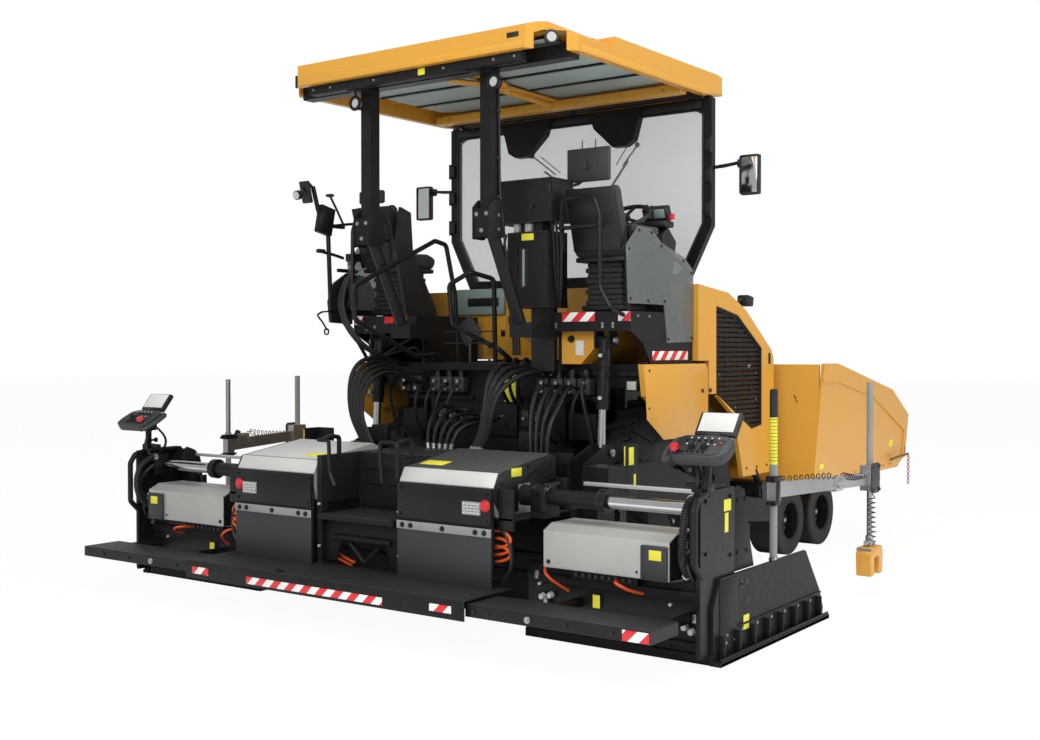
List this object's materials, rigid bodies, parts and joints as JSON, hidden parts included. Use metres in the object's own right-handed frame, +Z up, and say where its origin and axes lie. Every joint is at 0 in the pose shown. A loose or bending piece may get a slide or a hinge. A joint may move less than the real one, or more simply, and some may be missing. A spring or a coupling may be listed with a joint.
{
  "type": "wheeled asphalt paver with extending screed",
  "caption": "Wheeled asphalt paver with folding hopper wings, canopy over two seats, augers and a hydraulically extended screed.",
  "frame": {"origin": "bottom centre of the whole machine's box, on the ground", "axes": "+X the way it drives, the hopper in front; +Y its left side; +Z up"},
  "size_m": [6.3459, 5, 3.69],
  "materials": {
    "yellow_paint": "gloss",
    "black_paint": "semi-gloss",
    "grey_engine": "matte",
    "seat_cover": "matte",
    "dark_plastic": "matte",
    "smoked_glass": "clear",
    "solid_rubber": "matte",
    "tyre_rubber": "matte",
    "bare_steel": "satin",
    "chrome_rod": "polished",
    "silver_cover": "satin",
    "zinc_beam": "satin",
    "grey_plastic": "matte"
  },
  "bodies": {
    "tractor": {"chassis_frame": "black_paint", "engine_block": "grey_engine", "engine_cowl": "yellow_paint", "side_grilles": "black_paint", "side_hatches": "yellow_paint", "platform": "black_paint", "seats": "seat_cover", "operator_consoles": "dark_plastic", "windscreen_frame": "black_paint", "glazing": "smoked_glass", "canopy_roof": "yellow_paint", "canopy_posts": "black_paint", "handrails": "black_paint", "hopper_body": "yellow_paint", "slat_conveyors": "bare_steel", "push_beam": "black_paint", "bogie_beams": "black_paint"},
    "hood": {"engine_hood": "yellow_paint"},
    "steering": {"steering_wheel": "dark_plastic"},
    "apron": {"hopper_apron": "black_paint"},
    "rollers": {"push_rollers": "bare_steel"},
    "auger_l": {"auger_left": "bare_steel"},
    "auger_r": {"auger_right": "bare_steel"},
    "screed": {"tow_arms": "black_paint", "screed_frame": "black_paint", "screed_hoods": "silver_cover", "screed_flaps": "black_paint", "walkway_centre": "black_paint"},
    "wing_right": {"hopper_wing_right": "yellow_paint"},
    "wing_barrel_right": {"wing_cylinder_right": "black_paint"},
    "wing_piston_right": {"wing_rod_right": "chrome_rod"},
    "lift_barrel_right": {"lift_cylinder_right": "black_paint"},
    "lift_piston_right": {"lift_rod_right": "chrome_rod"},
    "drive_right": {"drive_wheel_right": "tyre_rubber"},
    "kingpin_rear_right": {"knuckle_rear_right": "black_paint"},
    "roadwheel_rear_right": {"steered_wheel_rear_right": "solid_rubber"},
    "kingpin_front_right": {"knuckle_front_right": "black_paint"},
    "roadwheel_front_right": {"steered_wheel_front_right": "solid_rubber"},
    "extender_right": {"extender_frame_right": "black_paint", "extender_cover_right": "silver_cover", "screed_console_right": "grey_plastic"},
    "gate_right": {"end_gate_right": "black_paint", "averaging_beam_right": "zinc_beam"},
    "sleeve_right": {"guide_sleeve_right": "black_paint"},
    "wing_left": {"hopper_wing_left": "yellow_paint"},
    "wing_barrel_left": {"wing_cylinder_left": "black_paint"},
    "wing_piston_left": {"wing_rod_left": "chrome_rod"},
    "lift_barrel_left": {"lift_cylinder_left": "black_paint"},
    "lift_piston_left": {"lift_rod_left": "chrome_rod"},
    "drive_left": {"drive_wheel_left": "tyre_rubber"},
    "kingpin_rear_left": {"knuckle_rear_left": "black_paint"},
    "roadwheel_rear_left": {"steered_wheel_rear_left": "solid_rubber"},
    "kingpin_front_left": {"knuckle_front_left": "black_paint"},
    "roadwheel_front_left": {"steered_wheel_front_left": "solid_rubber"},
    "extender_left": {"extender_frame_left": "black_paint", "extender_cover_left": "silver_cover", "screed_console_left": "grey_plastic"},
    "gate_left": {"end_gate_left": "black_paint", "averaging_beam_left": "zinc_beam"},
    "sleeve_left": {"guide_sleeve_left": "black_paint"}
  },
  "joints": [
    {"name": "engine_hood_lift", "type": "hinge", "parent": "tractor", "child": "hood", "pos_m": [-0.163, 0, 2.104], "axis": [0, -1, 0], "range_deg": [0, 50]},
    {"name": "steering_wheel_turn", "type": "hinge", "parent": "tractor", "child": "steering", "pos_m": [-0.99, -0.86, 2.6], "axis": [-0.5, 0, 0.866], "range_deg": [-360, 360]},
    {"name": "apron_fold", "type": "hinge", "parent": "tractor", "child": "apron", "pos_m": [2.846, 0, 0.62], "axis": [0, -1, 0], "range_deg": [0, 60]},
    {"name": "push_rollers_spin", "type": "hinge", "parent": "tractor", "child": "rollers", "pos_m": [3.098, 0, 0.44], "axis": [0, 1, 0], "continuous": true},
    {"name": "auger_left_spin", "type": "hinge", "parent": "tractor", "child": "auger_l", "pos_m": [-1.57, 0, 0.33], "axis": [0, 1, 0], "continuous": true},
    {"name": "auger_right_spin", "type": "hinge", "parent": "tractor", "child": "auger_r", "pos_m": [-1.57, 0, 0.33], "axis": [0, 1, 0], "continuous": true},
    {"name": "screed_lift", "type": "hinge", "parent": "tractor", "child": "screed", "pos_m": [0.39, 0, 0.44], "axis": [0, 1, 0], "range_deg": [0, 8]},
    {"name": "wing_fold_right", "type": "hinge", "parent": "tractor", "child": "wing_right", "pos_m": [-0.17, -0.735, 0.612], "axis": [-1, 0, 0], "range_deg": [0, 45]},
    {"name": "wing_cylinder_swing_right", "type": "hinge", "parent": "tractor", "child": "wing_barrel_right", "pos_m": [2.33, -0.74, 0.372], "axis": [-1, 0, 0], "range_deg": [0, 40]},
    {"name": "wing_rod_slide_right", "type": "slide", "parent": "wing_barrel_right", "child": "wing_piston_right", "axis": [0, -0.948, 0.3183], "range_m": [0, 0.17]},
    {"name": "lift_cylinder_swing_right", "type": "hinge", "parent": "tractor", "child": "lift_barrel_right", "pos_m": [-1.46, -1, 1.74], "axis": [0, -1, 0], "range_deg": [-0.5, 9.88]},
    {"name": "lift_rod_slide_right", "type": "slide", "parent": "lift_barrel_right", "child": "lift_piston_right", "axis": [-0.0674, 0, -0.9977], "range_m": [-0.2634, 0]},
    {"name": "drive_wheel_spin_right", "type": "hinge", "parent": "tractor", "child": "drive_right", "pos_m": [-0.63, -0.99, 0.673], "axis": [0, 1, 0], "continuous": true},
    {"name": "steer_rear_right", "type": "hinge", "parent": "tractor", "child": "kingpin_rear_right", "pos_m": [1.03, -0.9, 0.28], "axis": [0, 0, 1], "range_deg": [-20, 20]},
    {"name": "roadwheel_spin_rear_right", "type": "hinge", "parent": "kingpin_rear_right", "child": "roadwheel_rear_right", "pos_m": [1.03, -1.1, 0.28], "axis": [0, 1, 0], "continuous": true},
    {"name": "steer_front_right", "type": "hinge", "parent": "tractor", "child": "kingpin_front_right", "pos_m": [1.69, -0.9, 0.28], "axis": [0, 0, 1], "range_deg": [-20, 20]},
    {"name": "roadwheel_spin_front_right", "type": "hinge", "parent": "kingpin_front_right", "child": "roadwheel_front_right", "pos_m": [1.69, -1.1, 0.28], "axis": [0, 1, 0], "continuous": true},
    {"name": "extender_slide_right", "type": "slide", "parent": "screed", "child": "extender_right", "axis": [0, -1, 0], "range_m": [-0.9, 0]},
    {"name": "guide_sleeve_slide_right", "type": "slide", "parent": "screed", "child": "sleeve_right", "axis": [0, -1, 0], "range_m": [-0.33, 0]},
    {"name": "end_gate_lift_right", "type": "slide", "parent": "extender_right", "child": "gate_right", "axis": [0, 0, 1], "range_m": [0, 0.05]},
    {"name": "wing_fold_left", "type": "hinge", "parent": "tractor", "child": "wing_left", "pos_m": [-0.17, 0.735, 0.612], "axis": [1, 0, 0], "range_deg": [0, 45]},
    {"name": "wing_cylinder_swing_left", "type": "hinge", "parent": "tractor", "child": "wing_barrel_left", "pos_m": [2.33, 0.74, 0.372], "axis": [1, 0, 0], "range_deg": [0, 40]},
    {"name": "wing_rod_slide_left", "type": "slide", "parent": "wing_barrel_left", "child": "wing_piston_left", "axis": [0, 0.948, 0.3183], "range_m": [0, 0.17]},
    {"name": "lift_cylinder_swing_left", "type": "hinge", "parent": "tractor", "child": "lift_barrel_left", "pos_m": [-1.46, 1, 1.74], "axis": [0, -1, 0], "range_deg": [-0.5, 9.88]},
    {"name": "lift_rod_slide_left", "type": "slide", "parent": "lift_barrel_left", "child": "lift_piston_left", "axis": [-0.0674, 0, -0.9977], "range_m": [-0.2634, 0]},
    {"name": "drive_wheel_spin_left", "type": "hinge", "parent": "tractor", "child": "drive_left", "pos_m": [-0.63, 0.99, 0.673], "axis": [0, 1, 0], "continuous": true},
    {"name": "steer_rear_left", "type": "hinge", "parent": "tractor", "child": "kingpin_rear_left", "pos_m": [1.03, 0.9, 0.28], "axis": [0, 0, 1], "range_deg": [-20, 20]},
    {"name": "roadwheel_spin_rear_left", "type": "hinge", "parent": "kingpin_rear_left", "child": "roadwheel_rear_left", "pos_m": [1.03, 1.1, 0.28], "axis": [0, 1, 0], "continuous": true},
    {"name": "steer_front_left", "type": "hinge", "parent": "tractor", "child": "kingpin_front_left", "pos_m": [1.69, 0.9, 0.28], "axis": [0, 0, 1], "range_deg": [-20, 20]},
    {"name": "roadwheel_spin_front_left", "type": "hinge", "parent": "kingpin_front_left", "child": "roadwheel_front_left", "pos_m": [1.69, 1.1, 0.28], "axis": [0, 1, 0], "continuous": true},
    {"name": "extender_slide_left", "type": "slide", "parent": "screed", "child": "extender_left", "axis": [0, 1, 0], "range_m": [-0.9, 0]},
    {"name": "guide_sleeve_slide_left", "type": "slide", "parent": "screed", "child": "sleeve_left", "axis": [0, 1, 0], "range_m": [-0.33, 0]},
    {"name": "end_gate_lift_left", "type": "slide", "parent": "extender_left", "child": "gate_left", "axis": [0, 0, 1], "range_m": [0, 0.05]}
  ],
  "couplings": [
    {"joint": "wing_cylinder_swing_right", "follows": "wing_fold_right", "ratio": 0.79683},
    {"joint": "wing_rod_slide_right", "follows": "wing_fold_right", "m_per_rad": 0.19155},
    {"joint": "lift_cylinder_swing_right", "follows": "screed_lift", "ratio": 1.1723},
    {"joint": "lift_rod_slide_right", "follows": "screed_lift", "m_per_rad": -1.8509},
    {"joint": "steer_rear_right", "follows": "steer_front_right", "ratio": 1},
    {"joint": "guide_sleeve_slide_right", "follows": "extender_slide_right", "ratio": 0.36667},
    {"joint": "wing_cylinder_swing_left", "follows": "wing_fold_left", "ratio": 0.79683},
    {"joint": "wing_rod_slide_left", "follows": "wing_fold_left", "m_per_rad": 0.19155},
    {"joint": "lift_cylinder_swing_left", "follows": "screed_lift", "ratio": 1.1723},
    {"joint": "lift_rod_slide_left", "follows": "screed_lift", "m_per_rad": -1.8509},
    {"joint": "steer_rear_left", "follows": "steer_front_right", "ratio": 1},
    {"joint": "steer_front_left", "follows": "steer_front_right", "ratio": 1},
    {"joint": "guide_sleeve_slide_left", "follows": "extender_slide_left", "ratio": 0.36667},
    {"joint": "steering_wheel_turn", "follows": "steer_front_right", "ratio": 17}
  ]
}
